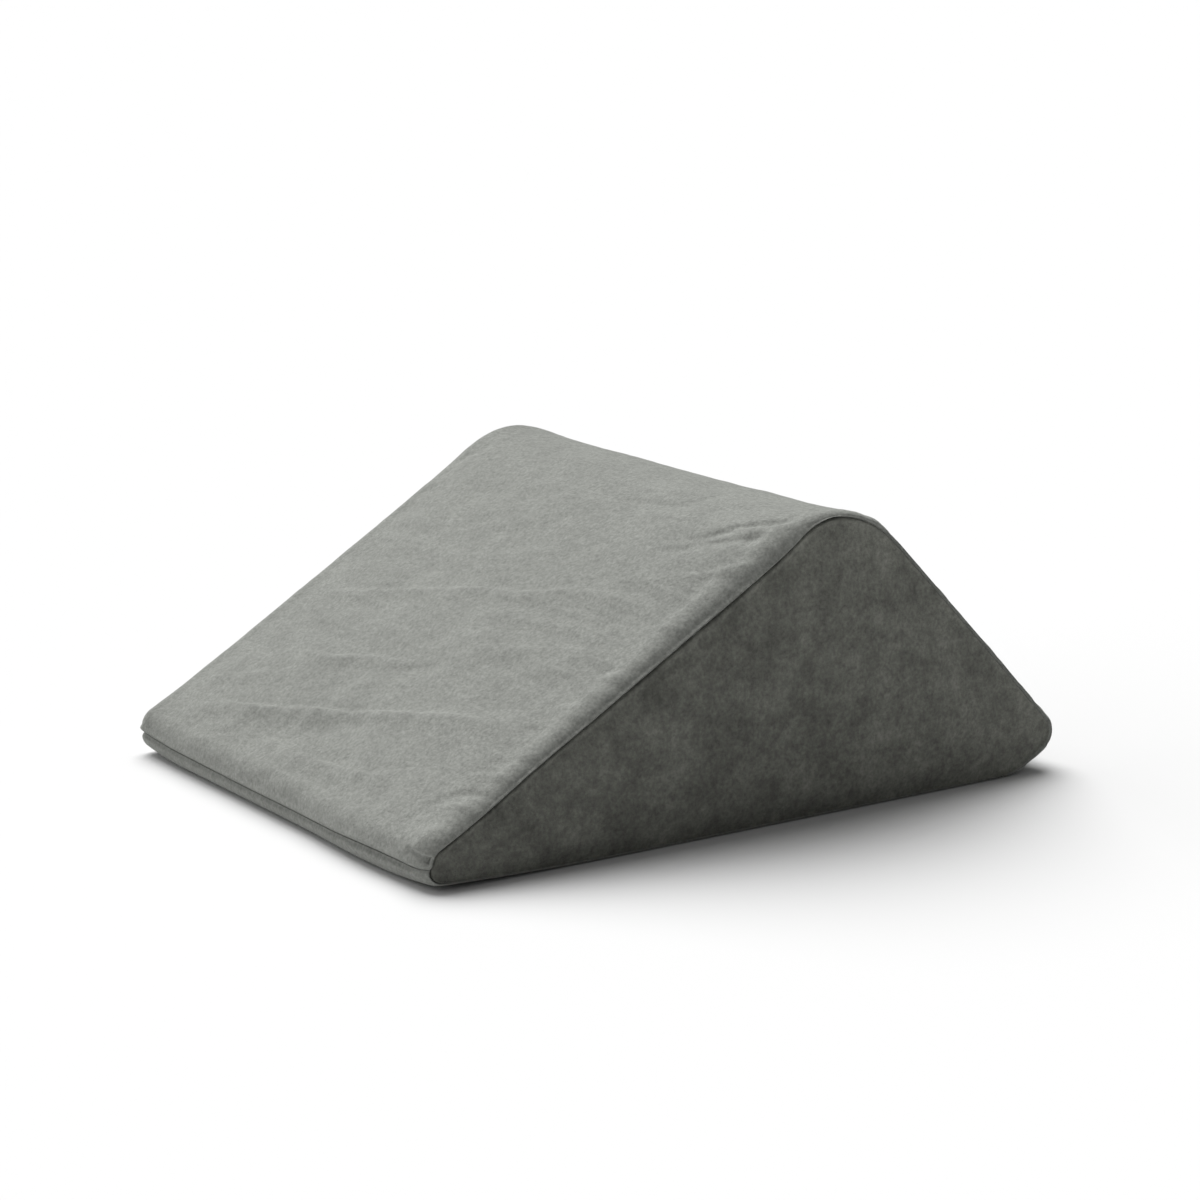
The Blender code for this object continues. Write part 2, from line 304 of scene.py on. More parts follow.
def velour(name, colour, mottle, painted_rear_light=0.0):
    """Brushed velour: fine nap, soft patches where the nap lies another way, and a little sheen.

    The colour can be painted lighter towards the rear, by a share of the colour: painted light, as if more
    light fell on the rear.
    """
    material = bpy.data.materials.new(name)
    material.use_nodes = True
    nodes = material.node_tree.nodes
    links = material.node_tree.links
    shader = nodes["Principled BSDF"]
    shader.inputs["Roughness"].default_value = 0.95
    shader.inputs["Specular IOR Level"].default_value = 0.15
    shader.inputs["Sheen Weight"].default_value = 0.25
    shader.inputs["Sheen Roughness"].default_value = 0.45
    shader.inputs["Sheen Tint"].default_value = (0.90, 0.92, 0.88, 1.0)
    place = nodes.new("ShaderNodeTexCoord")

    def noise(scale, detail, rough, stretch=(1, 1, 1)):
        mapping = nodes.new("ShaderNodeMapping")
        mapping.inputs["Scale"].default_value = stretch
        links.new(place.outputs["Object"], mapping.inputs["Vector"])
        node = nodes.new("ShaderNodeTexNoise")
        node.inputs["Scale"].default_value = scale
        node.inputs["Detail"].default_value = detail
        node.inputs["Roughness"].default_value = rough
        links.new(mapping.outputs["Vector"], node.inputs["Vector"])
        return node.outputs["Fac"]

    def around_one(value, low, high):
        """A noise value spread to a factor from low to high."""
        node = nodes.new("ShaderNodeMapRange")
        node.inputs["From Min"].default_value = 0.30
        node.inputs["From Max"].default_value = 0.70
        node.inputs["To Min"].default_value = low
        node.inputs["To Max"].default_value = high
        links.new(value, node.inputs["Value"])
        return node.outputs["Result"]

    def times(a, b):
        node = nodes.new("ShaderNodeMath")
        node.operation = "MULTIPLY"
        links.new(a, node.inputs[0])
        links.new(b, node.inputs[1])
        return node.outputs["Value"]

    patches = around_one(noise(38, 3, 0.55), 1 - mottle, 1 + mottle)
    brushed = around_one(noise(150, 3, 0.6, (0.55, 1, 1)), 1 - 0.8 * mottle, 1 + 0.8 * mottle)
    grain = around_one(noise(420, 2, 0.7), 0.78, 1.22)
    shade = times(times(patches, brushed), grain)
    # Painted light: the colour grows lighter from the front to the rear
    if painted_rear_light:
        apart = nodes.new("ShaderNodeSeparateXYZ")
        links.new(place.outputs["Object"], apart.inputs["Vector"])
        rearward_painted_light = nodes.new("ShaderNodeMapRange")
        rearward_painted_light.inputs["From Min"].default_value = -DEPTH / 2
        rearward_painted_light.inputs["From Max"].default_value = DEPTH / 2
        rearward_painted_light.inputs["To Min"].default_value = 1 - painted_rear_light
        rearward_painted_light.inputs["To Max"].default_value = 1 + painted_rear_light
        links.new(apart.outputs["Y"], rearward_painted_light.inputs["Value"])
        shade = times(shade, rearward_painted_light.outputs["Result"])
    tint = nodes.new("ShaderNodeVectorMath")
    tint.operation = "SCALE"
    tint.inputs[0].default_value = colour
    links.new(shade, tint.inputs["Scale"])
    links.new(tint.outputs["Vector"], shader.inputs["Base Color"])
    nap = nodes.new("ShaderNodeBump")
    nap.inputs["Strength"].default_value = 0.8
    nap.inputs["Distance"].default_value = 0.0006
    links.new(noise(620, 3, 0.7), nap.inputs["Height"])
    lie = nodes.new("ShaderNodeBump")
    lie.inputs["Strength"].default_value = 0.6
    lie.inputs["Distance"].default_value = 0.0010
    links.new(noise(140, 3, 0.6), lie.inputs["Height"])
    links.new(nap.outputs["Normal"], lie.inputs["Normal"])
    links.new(lie.outputs["Normal"], shader.inputs["Normal"])
    return material


CLOTH_COLOUR = (0.220, 0.226, 0.209)
# The side panels' colour is the wrap's cloth colour darkened: painted shade, standing in for the shade on the
# side panels turned away from the light. Their colour is also painted lighter towards the rear.
SHADED_SIDE_COLOUR = (0.146, 0.149, 0.131)
WRAP_CLOTH = velour("wrap_velour", CLOTH_COLOUR, 0.06)
SIDE_CLOTH_PAINTED_LIGHT_AND_SHADE = velour("side_velour_painted_light_and_shade", SHADED_SIDE_COLOUR, 0.24, 0.14)
BASE_CLOTH_LOOK = velour("base_velour", CLOTH_COLOUR, 0.04)


# Wrap

# Columns of the wrap: its flat middle, and the angles round the roll at each end
ROLL = np.radians([0, 8, 16, 24, 32, 40, 48, 55, 61, 66, 71, 76, 80, 84])
ROLL_FADE = np.radians(12)
MIDDLE = np.linspace(-1, 1, 181)
PLACES = np.concatenate([np.full(len(ROLL) - 1, -1.0), MIDDLE, np.full(len(ROLL) - 1, 1.0)])
ANGLES = np.concatenate([-ROLL[:0:-1], np.zeros(len(MIDDLE)), ROLL[1:]])


# The turned edge just above the front seam
FOLD_HEIGHT = 0.0010
FOLD_ABOVE = 0.0036
FOLD_WIDTH = 0.0016

# A soft fold of the base panel under the front seam, by the right corner
LIP_FOLD = 0.0010
LIP_FOLD_BELOW = 0.0040
LIP_FOLD_PLACE = 0.80
LIP_FOLD_SPREAD = 0.22

# The base panel's top edge turns in, so the front seam is a soft groove
LIP_TURN = 0.0017
LIP_TURN_WIDTH = 0.0022

# Height of the front seam across the width, from the left end to the right, looked for just past the toe
LIP_SEARCH = 0.06
LIP_PLACES = (-1.0, -0.75, -0.45, -0.15, 0.15, 0.42, 0.58, 0.72, 0.86, 1.0)
LIP_HEIGHTS = (0.0128, 0.0124, 0.0117, 0.0112, 0.0112, 0.0118, 0.0130, 0.0134, 0.0126, 0.0108)


def lip_station(place):
    """Where the front seam lies across the width."""
    heights = eased(place, LIP_PLACES, LIP_HEIGHTS)
    stations = np.arange(TOE_START, TOE_START + LIP_SEARCH, STATION_STEP)
    return np.interp(heights, outline_at(stations)[:, 1], stations)


# Rows of the wrap: how many lie on each stretch, and how far from the seams the rows next to them are
UNDER_ROWS = 8
TOE_ROWS = 12
NOSE_ROWS = 44
SLOPE_ROWS = 270
REAR_ROWS = 90
PAST_LIP = (0.0003, 0.0006, 0.0010, 0.0016, 0.0024, 0.0034)
BEFORE_END = (0.0060, 0.0045, 0.0032, 0.0020, 0.0010, 0.0004)
NOSE_FIRST = 0.0046
FINE_PAST_RIDGE = 0.025


def shares(count):
    """Even steps from 0 up to 1, without 1."""
    return np.linspace(0, 1, count, endpoint=False)[None, :]


def wrap_stations(place):
    """Stations of the wrap's rings for each place: fine where it shows, coarse under the base panel."""
    lip = lip_station(place)[:, None]
    under = shares(UNDER_ROWS) * TOE_START
    toe = TOE_START + shares(TOE_ROWS) * (lip - TOE_START)
    seam = lip + np.array(PAST_LIP)[None, :]
    nose = lip + NOSE_FIRST + shares(NOSE_ROWS) * (SLOPE_START - lip - NOSE_FIRST)
    fine_end = REAR_START - FINE_PAST_RIDGE
    slope = SLOPE_START + shares(SLOPE_ROWS) * (fine_end - SLOPE_START)
    rear = fine_end + shares(REAR_ROWS) * (LENGTH - BEFORE_END[0] - REAR_START + FINE_PAST_RIDGE)
    end = LENGTH - np.array(BEFORE_END)[None, :]
    ones = np.ones((len(place), 1))
    return np.hstack([under * ones, toe, seam, nose, slope * ones, rear * ones, end * ones])


# The wrap comes up from under the base panel's edge over a short reach
SEAM_START = 0.0003
SEAM_REACH = 0.0030


def room_for_base(place, station):
    """How far the wrap stays under the outer surface along the base panel and its seams."""
    lip = lip_station(place)[:, None]
    beyond = np.minimum(np.maximum(station - lip, 0), LENGTH - station)
    share = np.clip((beyond - SEAM_START) / SEAM_REACH, 0, 1)
    fold = FOLD_HEIGHT * np.exp(-((station - lip - FOLD_ABOVE) / FOLD_WIDTH) ** 2)
    return (BASE_CLOTH + CLEARANCE) * (1 - share) ** 2 - fold


def width_place(place, angle, station):
    """Distance across the cloth from the middle, in metres, measured round the end roll."""
    deep = roll_depth(station, place)
    wide = deep + ROLL_EXTRA
    return place * (HALF_ROLLED - wide) + angle * (deep + wide) / 2


# Creases of the slope. Points are across the width and up from the nose, in millimetres, from left to right.
# Height is positive for a ridge and negative for a furrow. It fades over one width uphill and another downhill.
Crease = namedtuple("Crease", "name height uphill downhill points")
CREASES = (
    Crease("long low ridge", 2.5, 2.6, 8.0, (
        (-158, 10), (-151, 12), (-129, 23), (-106, 27), (-72, 35), (-38, 46), (-22, 49), (8, 56), (45, 67),
        (73, 75), (96, 82), (133, 89), (167, 97))),
    Crease("front corner ridge", 2.5, 3.6, 9.0, (
        (-60, 14), (-47, 12), (-5, 11), (33, 14), (62, 17), (92, 23), (110, 30))),
    Crease("short ridge", 2.2, 2.6, 7.0, (
        (-104, 86), (-96, 87), (-67, 89), (-37, 99), (-19, 103), (3, 106), (14, 109))),
    Crease("short ridge's far end", -1.3, 3.5, 6.0, ((0, 100), (14, 104), (30, 110), (46, 113))),
    Crease("faint long ridge", 1.5, 2.6, 9.0, (
        (-175, 134), (-163, 138), (-130, 146), (-84, 158), (-35, 172), (0, 182), (37, 190), (70, 203),
        (109, 212), (144, 220))),
    Crease("low left ridge", 0.9, 3.0, 7.0, ((-170, 38), (-150, 46), (-120, 58), (-96, 66))),
    Crease("middle ridge", 0.8, 3.0, 8.0, ((20, 132), (60, 141), (100, 152), (140, 166), (170, 178))),
    Crease("upper line", -1.1, 2.4, 5.0, ((20, 290), (36, 298), (80, 302), (96, 312))),
    Crease("upper branch", -0.9, 2.4, 5.0, ((72, 300), (86, 312), (92, 320), (93, 336))),
    Crease("upper furrow", -2.1, 2.8, 6.0, ((118, 272), (135, 281), (145, 290), (163, 304), (188, 322))),
    Crease("lower furrow", -2.1, 3.0, 6.0, ((108, 258), (129, 266), (141, 276), (162, 287), (190, 303))),
    Crease("pucker below", 1.6, 2.8, 5.0, ((150, 246), (166, 252), (180, 262), (192, 274))),
    Crease("pucker between", 1.4, 2.4, 4.0, ((150, 294), (166, 300), (180, 308), (193, 316))),
    Crease("end tuck", -8.0, 2.0, 3.4, ((179, -13.5), (189, -15.5), (199, -16.5), (215, -16.5))),
    Crease("end hollow", -6.0, 3.0, 3.4, ((184, -20.5), (193, -21), (200, -21), (214, -21))),
    Crease("end bulge", 2.2, 8.0, 9.0, ((160, 1), (178, 2), (190, 1), (204, -1))),
    Crease("roll pucker 1", 1.6, 3.0, 4.5, ((168, 20), (180, 26), (190, 30), (204, 33))),
    Crease("roll pucker 2", -1.5, 2.4, 4.0, ((166, 32), (178, 38), (188, 42), (202, 45))),
    Crease("roll pucker 3", 1.5, 3.0, 5.0, ((162, 48), (176, 55), (186, 59), (202, 62))),
    Crease("roll pucker 4", -1.3, 2.6, 4.0, ((164, 62), (178, 70), (188, 75), (202, 78))),
    Crease("roll pucker 5", 1.1, 3.4, 6.0, ((166, 116), (180, 124), (190, 129), (204, 133))),
    Crease("roll pucker 6", -1.0, 3.0, 5.0, ((164, 150), (178, 160), (190, 166), (204, 170))),
    Crease("roll pucker 7", 1.0, 3.0, 5.0, ((166, 196), (180, 205), (190, 210), (204, 215))),
)


def crease_height(across, up, crease):
    """The rise of one crease at each point, tapered towards its ends. Everything is in millimetres."""
    points = np.array(crease.points, float)
    lengths = np.linalg.norm(np.diff(points, axis=0), axis=1)
    reach = 3 * max(crease.uphill, crease.downhill)
    low = points.min(0) - reach
    high = points.max(0) + reach
    near = (across > low[0]) & (across < high[0]) & (up > low[1]) & (up < high[1])
    rise = np.zeros_like(across)
    if not near.any():
        return rise
    here = np.stack([across[near], up[near]], -1)
    best = np.full(len(here), 1e9)
    signed = np.zeros(len(here))
    along = np.zeros(len(here))
    start = 0.0
    for first, second, length in zip(points, points[1:], lengths):
        line = (second - first) / length
        offset = here - first
        t = np.clip(offset @ line, 0, length)
        gap = offset - t[:, None] * line
        distance = np.linalg.norm(gap, axis=1)
        closer = distance < best
        best = np.where(closer, distance, best)
        side = np.sign(gap @ np.array([-line[1], line[0]]))
        signed = np.where(closer, side * distance, signed)
        along = np.where(closer, start + t, along)
        start += length
    taper = np.clip(np.sin(np.pi * along / start), 0, 1) ** 0.6
    waver = 0.75 + 0.25 * np.sin(along / 11.0 + points[0, 0]) * np.sin(along / 5.3 + points[0, 1])
    width = np.where(signed > 0, crease.uphill, crease.downhill)
    rise[near] = crease.height * taper * waver * np.exp(-(signed / width) ** 2)
    return rise


def value_noise(u, v, scale, seed):
    """Smooth noise from -1 to 1 over a plane, the same on every run."""
    table = np.random.RandomState(seed).uniform(-1, 1, (128, 128))
    u = u / scale + 41.3
    v = v / scale + 17.7
    iu = np.floor(u).astype(int)
    iv = np.floor(v).astype(int)
    fu = u - iu
    fv = v - iv
    fu = fu * fu * fu * (fu * (fu * 6 - 15) + 10)
    fv = fv * fv * fv * (fv * (fv * 6 - 15) + 10)
    corner = lambda a, b: table[(iu + a) % 128, (iv + b) % 128]
    low = corner(0, 0) * (1 - fu) + corner(1, 0) * fu
    high = corner(0, 1) * (1 - fu) + corner(1, 1) * fu
    return low * (1 - fv) + high * fv


# The slope's ends stand up a little, in millimetres, just before they roll over into the side seams
EDGE_RIDGE = 0.8
EDGE_WIDTH = 4.0
EDGE_BACK = 1.5
NOSE_STATION = first_station(lambda p: p[:, 1] > 0.033, TOE_START)

# Unevenness of the cloth in millimetres: height, how much it is drawn out across, size and seed
Uneven = namedtuple("Uneven", "height drawn size seed")
SLANT = 0.27
SOFT_WAVES = (Uneven(0.50, 0.5, 34, 3), Uneven(0.42, 0.45, 15, 5), Uneven(0.20, 0.6, 7, 8))
END_LUMPS = (Uneven(0.60, 0.35, 13, 11), Uneven(0.30, 0.5, 6.5, 13))
END_LUMPS_FROM = 160
END_LUMPS_OVER = 26

# The left end is calmer than the rest
CALM_SHARE = 0.6
CALM_PLACE = -195
CALM_WIDTH = 40


def wrap_relief(place, angle, station):
    """How far the wrap stands above its smooth shape: creases, soft waves and lumps along the right roll."""
    across = 1000 * width_place(place, angle, station)
    up = 1000 * (station - NOSE_STATION)
    rise = sum(crease_height(across, up, crease) for crease in CREASES)
    slant = up - SLANT * across
    rough = 0
    for row in SOFT_WAVES:
        rough = rough + row.height * value_noise(across * row.drawn, slant, row.size, row.seed)
    rise += rough * (1 - CALM_SHARE * np.exp(-((across - CALM_PLACE) / CALM_WIDTH) ** 2))
    edge_at = 1000 * (HALF_ROLLED - roll_depth(station, place) - ROLL_EXTRA) - EDGE_BACK
    uneven = 0.75 + 0.45 * value_noise(across * 0, up, 21, 17)
    rise += EDGE_RIDGE * uneven * np.exp(-((np.abs(across) - edge_at) / EDGE_WIDTH) ** 2)
    edge = np.clip((across - END_LUMPS_FROM) / END_LUMPS_OVER, 0, 1) ** 2
    for row in END_LUMPS:
        rise += row.height * edge * value_noise(across * row.drawn, up, row.size, row.seed)
    return rise / 1000


# The thin front edge: fuller at one place, rounded at its right end and lifted off the floor at both corners
NOSE_FULLNESS = 0.0028
NOSE_FULL_AT = 0.110
NOSE_FULL_WIDTH = 0.050
NOSE_ROUND = 0.012
NOSE_ROUND_WIDTH = 0.045
NOSE_REACH = 0.060
CORNER_LIFT = 0.0045
CORNER_WIDTH = 0.060
CORNER_DEPTH = 0.150
CORNER_HEIGHT = 0.045


def shape_front(points):
    """Lift the underside's front corners, fill the nose and round off its right end."""
    across = np.clip((np.abs(points[..., 0]) - HALF_ROLLED + CORNER_WIDTH) / CORNER_WIDTH, 0, 1)
    front = np.clip((-DEPTH / 2 + CORNER_DEPTH - points[..., 1]) / CORNER_DEPTH, 0, 1)
    low = np.clip(1 - points[..., 2] / CORNER_HEIGHT, 0, 1)
    points[..., 2] += CORNER_LIFT * across ** 2 * front ** 2 * low
    full = NOSE_FULLNESS * np.exp(-((points[..., 0] - NOSE_FULL_AT) / NOSE_FULL_WIDTH) ** 2)
    reach = np.clip((-DEPTH / 2 + NOSE_REACH - points[..., 1]) / NOSE_REACH, 0, 1)
    from_front = np.clip(points[..., 1] + DEPTH / 2, 0, NOSE_ROUND)
    turn_in = NOSE_ROUND - np.sqrt(NOSE_ROUND ** 2 - (NOSE_ROUND - from_front) ** 2)
    near_end = np.clip((points[..., 0] - HALF_FACE + NOSE_ROUND_WIDTH) / NOSE_ROUND_WIDTH, 0, 1)
    points[..., 0] -= turn_in * near_end ** 2 * (3 - 2 * near_end)
    points[..., 1] -= full * reach ** 2
    return points


# Settling the cloth: a coarse copy of the wrap between its seams is a little larger than its bed and pushed
# out by the filling, so it buckles as sewn cloth does. Only its buckles are kept: the crown has its own sizes.
SIM_COLUMNS = 92
SIM_ROWS = 150
SIM_FRAMES = 20
CLOTH_SLACK = 0.010
FILLING_PRESSURE = 4.0
BUCKLE_BLUR = 14
BUCKLE_LIMIT = 0.0022
BUCKLE_SHARE = 0.7
SETTLE_FROM_SEAMS = 0.004
SETTLE_START = 0.0006
SETTLE_PROBE = 0.001
SETTLE_BENDING = 0.15

# The buckles are calmer near the front edge and over the ridge: by what share, and over what reach
FRONT_CALM = 0.6
FRONT_CALM_REACH = 0.060
RIDGE_CALM = 0.5
RIDGE_CALM_REACH = 0.045


def blurred(grid, radius):
    """A grid averaged over a window, twice, with its edge values repeated."""
    for _ in range(2):
        for axis in (0, 1):
            sides = [(radius, radius) if axis == k else (0, 0) for k in (0, 1)]
            padded = np.pad(grid, sides, mode="edge")
            sums = np.cumsum(np.insert(padded, 0, 0, axis=axis), axis=axis)
            count = grid.shape[axis]
            ends = np.take(sums, np.arange(count) + 2 * radius + 1, axis=axis)
            grid = (ends - np.take(sums, np.arange(count), axis=axis)) / (2 * radius + 1)
    return grid


def settled_buckles():
    """How far the settled cloth stands off its smooth shape, on a grid of places by stations."""
    places = np.linspace(-1, 1, SIM_COLUMNS)
    place = places[:, None]
    first = lip_station(places)[:, None] + SETTLE_FROM_SEAMS
    station = first + np.linspace(0, 1, SIM_ROWS)[None, :] * (LENGTH - SETTLE_FROM_SEAMS - first)
    angle = np.zeros((SIM_COLUMNS, 1))
    flat = surface(place, angle, station, 0)
    above = surface(place, angle, station, -SETTLE_PROBE)
    normal = (above - flat) / SETTLE_PROBE
    uneven = SETTLE_START * value_noise(1000 * place * HALF_FACE, 1000 * station, 24, 31)
    start = flat + normal * uneven[..., None]
    faces = grid_quads(SIM_COLUMNS, SIM_ROWS)[:, ::-1]
    sheet = add_mesh("settling", start.reshape(-1, 3), [faces], WRAP_CLOTH)
    index = np.arange(SIM_COLUMNS * SIM_ROWS).reshape(SIM_COLUMNS, SIM_ROWS)
    border = np.concatenate([index[0], index[-1], index[:, 0], index[:, -1]])
    seams = sheet.vertex_groups.new(name="seams")
    seams.add([int(number) for number in np.unique(border)], 1.0, "REPLACE")
    cloth = sheet.modifiers.new("settle", "CLOTH")
    cloth.settings.quality = 5
    cloth.settings.vertex_group_mass = "seams"
    cloth.settings.use_pressure = True
    cloth.settings.uniform_pressure_force = FILLING_PRESSURE
    cloth.settings.shrink_min = -CLOTH_SLACK
    cloth.settings.effector_weights.gravity = 0
    cloth.settings.bending_stiffness = SETTLE_BENDING
    cloth.point_cache.frame_start = 1
    cloth.point_cache.frame_end = SIM_FRAMES
    scene = bpy.context.scene
    for number in range(1, SIM_FRAMES + 1):
        scene.frame_set(number)
    settled = sheet.evaluated_get(bpy.context.evaluated_depsgraph_get()).data
    moved = np.empty(3 * SIM_COLUMNS * SIM_ROWS, np.float32)
    settled.vertices.foreach_get("co", moved)
    lift = ((moved.reshape(flat.shape) - flat) * normal).sum(-1)
    scene.frame_set(1)
    bpy.data.objects.remove(sheet, do_unlink=True)
    buckles = lift - blurred(lift, BUCKLE_BLUR)
    calm = 1 - FRONT_CALM * np.exp(-((station - first) / FRONT_CALM_REACH) ** 2)
    calm = calm - RIDGE_CALM * np.exp(-((station - RIDGE_TOP) / RIDGE_CALM_REACH) ** 2)
    return np.clip(buckles, -BUCKLE_LIMIT, BUCKLE_LIMIT) * calm


def read_grid(grid, place, share):
    """Values of the settled grid, joined smoothly, at places from -1 to 1 and shares from 0 to 1."""
    u = np.clip((place + 1) / 2, 0, 1) * (SIM_COLUMNS - 1)
    v = np.clip(share, 0, 1) * (SIM_ROWS - 1)
    u, v = np.broadcast_arrays(u, v)
    iu = np.clip(np.floor(u).astype(int), 0, SIM_COLUMNS - 2)
    iv = np.clip(np.floor(v).astype(int), 0, SIM_ROWS - 2)
    fu = u - iu
    fv = v - iv
    fu = fu * fu * (3 - 2 * fu)
    fv = fv * fv * (3 - 2 * fv)
    low = grid[iu, iv] * (1 - fu) + grid[iu + 1, iv] * fu
    high = grid[iu, iv + 1] * (1 - fu) + grid[iu + 1, iv + 1] * fu
    return low * (1 - fv) + high * fv


# The relief fades out towards the front seam, the rear seam and the end of the roll
LIP_FADE_START = 0.001
LIP_FADE = 0.006
REAR_FADE_END = 0.002
REAR_FADE = 0.010

# The wrap's ends under the side panels: rings towards the middle
END_GAP = 0.0008
END_SHARES = (0.985, 0.8, 0.5, 0.2)


def build_wrap():
    """The wrap over its filling, closed at both ends behind the side panels."""
    stations = wrap_stations(PLACES)
    visible = np.clip((stations - lip_station(PLACES)[:, None] - LIP_FADE_START) / LIP_FADE, 0, 1)
    visible = visible * np.clip((LENGTH - REAR_FADE_END - stations) / REAR_FADE, 0, 1)
    rolled = np.clip((ROLL[-1] - np.abs(ANGLES)) / ROLL_FADE, 0, 1)[:, None]
    relief = wrap_relief(PLACES[:, None], ANGLES[:, None], stations)
    first = lip_station(PLACES)[:, None] + SETTLE_FROM_SEAMS
    share = (stations - first) / (LENGTH - SETTLE_FROM_SEAMS - first)
    relief += BUCKLE_SHARE * read_grid(settled_buckles(), PLACES[:, None], share)
    relief = relief * visible * rolled
    depth = room_for_base(PLACES, stations) - relief
    points = shape_front(surface(PLACES[:, None], ANGLES[:, None], stations, depth))
    rings, count = points.shape[:2]
    vertices = [points.reshape(-1, 3)]
    faces = [grid_quads(rings, count, closed=True)]
    total = rings * count
    for side, row in ((-1, 0), (1, rings - 1)):
        rim = points[row]
        middle = rim.mean(0)
        floor_x = side * (HALF_FACE - SIDE_CLOTH - END_GAP)
        caps = []
        for share in END_SHARES:
            ring = middle + (rim - middle) * share
            ring[:, 0] = floor_x + side * SIDE_CROWN * (1 - share ** 2)
            caps.append(ring)
        apex = middle.copy()
        apex[0] = floor_x + side * SIDE_CROWN
        cap_vertices = np.vstack(caps + [apex[None, :]])
        first = total
        vertices.append(cap_vertices)
        faces.append(grid_quads(len(caps), count, first, closed=True))
        rim_index = np.arange(count) + row * count
        ring_index = np.arange(count) + first
        rim_ahead = np.roll(rim_index, -1)
        ring_ahead = np.roll(ring_index, -1)
        faces.append(np.stack([rim_index, rim_ahead, ring_ahead, ring_index], -1))
        last = np.arange(count) + first + (len(caps) - 1) * count
        faces.append(fan_triangles(last, first + len(caps) * count, False))
        total += len(cap_vertices)
    obj = add_mesh("cover_wrap", np.vstack(vertices), faces, WRAP_CLOTH)
    outward_facing(obj)
    return obj


# Side panels

# The panel's turned edge, from inside the seam out to its face: how far in from the seam, and how far behind
# the face
Rim = namedtuple("Rim", "margin set_back")
RIM_PROFILE = (
    Rim(0.0018, 0.0036),
    Rim(0.0016, 0.0024),
    Rim(0.0016, 0.0012),
    Rim(0.0019, 0.0002),
    Rim(0.0024, -0.0005),
    Rim(0.0032, -0.0006),
    Rim(0.0042, -0.0001),
    Rim(0.0058, 0.0000),
)

# The edge is wider up the slope and narrower along the underside
GROOVE_WIDER = 0.45
UNDERSIDE_MARGIN = 0.3
SIDE_COLUMNS = 380
SIDE_RINGS = 60
SIDE_INNER_STEP = 3
DOME_EDGE = 8

# The dome grows with the product of the distances to the three edges, and is full at this many cubic metres.
# It may grow on to a product this many times as large.
DOME_FULL = 0.00023
DOME_MOST = 2
DOME_POWER = 0.6
SIDE_WAVES = (Uneven(0.00035, 1, 38, 21), Uneven(0.00015, 1, 15, 23))


def side_dome(y, z):
    """How far the filling pushes a side panel out: nothing along its straight edges, most in the middle."""
    nose, ridge, heel = [(corner.depth - DEPTH / 2, corner.height) for corner in CORNERS[1:4]]
    rise = z
    for start, end in ((nose, ridge), (ridge, heel)):
        along = np.subtract(end, start) / math.dist(start, end)
        rise = rise * np.maximum((y - start[0]) * along[1] - (z - start[1]) * along[0], 0)
    uneven = sum(row.height * value_noise(1000 * y, 1000 * z, row.size, row.seed) for row in SIDE_WAVES)
    return SIDE_CROWN * np.minimum(rise / DOME_FULL, DOME_MOST) ** DOME_POWER + uneven


def build_side(name, side):
    """A three-cornered sheet, domed by the filling, its cut edge turned into the seam."""
    stations = np.linspace(0, LENGTH, SIDE_COLUMNS, endpoint=False)
    flat = outline_at(stations)
    out = outward_at(stations)
    seam = roll_depth(stations, side) * (1 - math.cos(ROLL[-2]))
    turns = [TOE_START, TOE_START + 0.02, HEEL_START + 0.03, LENGTH]
    upright = np.interp(stations, turns, [UNDERSIDE_MARGIN, 1, 1, UNDERSIDE_MARGIN])
    wide = 1 + GROOVE_WIDER * bump(stations, SLOPE_START + 0.06, RIDGE_TOP)
    rings = []
    for row in RIM_PROFILE:
        yz = flat - out * (seam + row.margin * upright * wide - ear_rise(stations))[:, None]
        x = np.full(len(yz), side * (HALF_FACE - row.set_back))
        rings.append(np.column_stack([x, yz[:, 0] - DEPTH / 2, yz[:, 1]]))
    rim = rings[-1]
    middle = rim.mean(0)
    for share in np.linspace(1, 0, SIDE_RINGS + 1)[1:-1]:
        ring = middle + (rim - middle) * share
        ring[:, 0] = side * (HALF_FACE + side_dome(ring[:, 1], ring[:, 2]) * (1 - share ** DOME_EDGE))
        rings.append(ring)
    outer = np.array(rings)
    inner = outer[::-1].copy()[:-1:SIDE_INNER_STEP]
    inner[:, :, 0] -= side * (SIDE_CLOTH - CLEARANCE)
    rows = np.concatenate([inner, outer])
    count = len(stations)
    centre_out = middle.copy()
    centre_out[0] = side * (HALF_FACE + side_dome(middle[1], middle[2]))
    centre_in = centre_out - [side * (SIDE_CLOTH - CLEARANCE), 0, 0]
    vertices = np.vstack([rows.reshape(-1, 3), centre_in, centre_out])
    total = len(rows) * count
    faces = [grid_quads(len(rows), count, closed=True)]
    faces.append(fan_triangles(np.arange(count), total, True))
    faces.append(fan_triangles(np.arange(count) + total - count, total + 1, False))
    obj = add_mesh(name, shape_front(vertices), faces, SIDE_CLOTH_PAINTED_LIGHT_AND_SHADE)
    outward_facing(obj)
    return obj


# Base panel

BASE_FLAT_ROWS = 12
BASE_LIP_ROWS = 60


